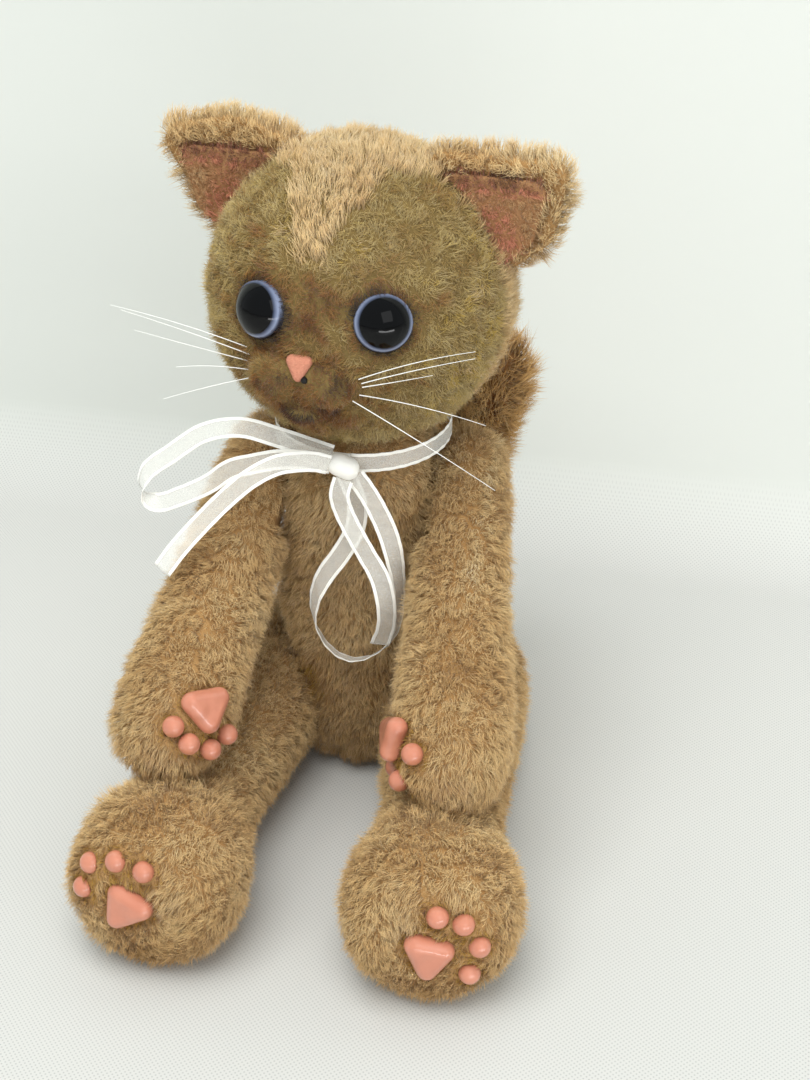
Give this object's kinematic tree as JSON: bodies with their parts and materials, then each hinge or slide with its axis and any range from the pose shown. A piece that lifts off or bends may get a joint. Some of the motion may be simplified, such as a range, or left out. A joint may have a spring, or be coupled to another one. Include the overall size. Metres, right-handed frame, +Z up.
{
  "type": "jointed plush cat",
  "caption": "Sitting plush cat with disc-jointed head, arms and legs, glass eyes, clay paw pads, a bushy tail and an organza ribbon tied round its neck.",
  "frame": {"origin": "centre of the flat seat, on the surface that the cat sits on", "axes": "+Z up; the cat faces -Y; its left side is +X"},
  "size_m": [0.126, 0.1794, 0.2055],
  "materials": {
    "fur": "short plush pile",
    "tail_fur": "long shaggy pile",
    "felt": "needle-felted wool",
    "ear_fur": "short plush pile",
    "nose_felt": "needle-felted wool",
    "black_thread": "waxed thread",
    "eye_glass": "polished glass, painted behind",
    "clay": "glazed polymer clay",
    "organza": "sheer organza with satin edges",
    "whisker": "nylon monofilament",
    "stuffing": "polyester fibre",
    "pellet_bag": "cotton bag of pellets",
    "hardboard": "pressed hardboard",
    "steel": "bright steel"
  },
  "bodies": {
    "torso": {"torso_skin": "fur", "torso_stuffing": "stuffing", "pellet_bag": "pellet_bag", "torso_joint_discs": "hardboard", "torso_joint_washers": "steel", "tail_skin": "tail_fur", "tail_stuffing": "stuffing", "tail_wire": "steel", "ribbon_neck_band": "organza", "ribbon_knot": "organza", "ribbon_side_loop": "organza", "ribbon_side_end": "organza", "ribbon_hanging_loop": "organza", "ribbon_hanging_end": "organza"},
    "head": {"head_skin": "fur", "head_stuffing": "stuffing", "muzzle_felt": "felt", "nose": "nose_felt", "mouth_stitch": "black_thread", "left_eye": "eye_glass", "right_eye": "eye_glass", "left_eye_loop": "steel", "right_eye_loop": "steel", "left_ear_back": "fur", "right_ear_back": "fur", "left_ear_lining": "ear_fur", "right_ear_lining": "ear_fur", "left_whiskers": "whisker", "right_whiskers": "whisker", "neck_disc": "hardboard", "neck_washer": "steel", "neck_cotter_pin": "steel"},
    "left_arm": {"left_arm_skin": "fur", "left_arm_stuffing": "stuffing", "left_palm_pad": "clay", "left_hand_toe_pads": "clay", "left_shoulder_disc": "hardboard", "left_shoulder_washer": "steel", "left_shoulder_cotter_pin": "steel"},
    "right_arm": {"right_arm_skin": "fur", "right_arm_stuffing": "stuffing", "right_palm_pad": "clay", "right_hand_toe_pads": "clay", "right_shoulder_disc": "hardboard", "right_shoulder_washer": "steel", "right_shoulder_cotter_pin": "steel"},
    "left_leg": {"left_leg_skin": "fur", "left_leg_stuffing": "stuffing", "left_sole_pad": "clay", "left_foot_toe_pads": "clay", "left_hip_disc": "hardboard", "left_hip_washer": "steel", "left_hip_cotter_pin": "steel"},
    "right_leg": {"right_leg_skin": "fur", "right_leg_stuffing": "stuffing", "right_sole_pad": "clay", "right_foot_toe_pads": "clay", "right_hip_disc": "hardboard", "right_hip_washer": "steel", "right_hip_cotter_pin": "steel"}
  },
  "joints": [
    {"name": "neck", "type": "hinge", "parent": "torso", "child": "head", "pos_m": [0, 0, 0.119], "axis": [0, 0, 1], "range_deg": [-40, 40]},
    {"name": "left_shoulder", "type": "hinge", "parent": "torso", "child": "left_arm", "pos_m": [0.0225, 0, 0.098], "axis": [-0.9903, 0, -0.1392], "range_deg": [0, 38]},
    {"name": "right_shoulder", "type": "hinge", "parent": "torso", "child": "right_arm", "pos_m": [-0.0225, 0, 0.098], "axis": [-0.9903, 0, 0.1392], "range_deg": [0, 38], "deforming": ["ribbon_side_loop", "ribbon_side_end"]},
    {"name": "left_hip", "type": "hinge", "parent": "torso", "child": "left_leg", "pos_m": [0.018, 0, 0.023], "axis": [1, 0, 0], "range_deg": [0, 95]},
    {"name": "right_hip", "type": "hinge", "parent": "torso", "child": "right_leg", "pos_m": [-0.018, 0, 0.023], "axis": [1, 0, 0], "range_deg": [0, 95]}
  ]
}
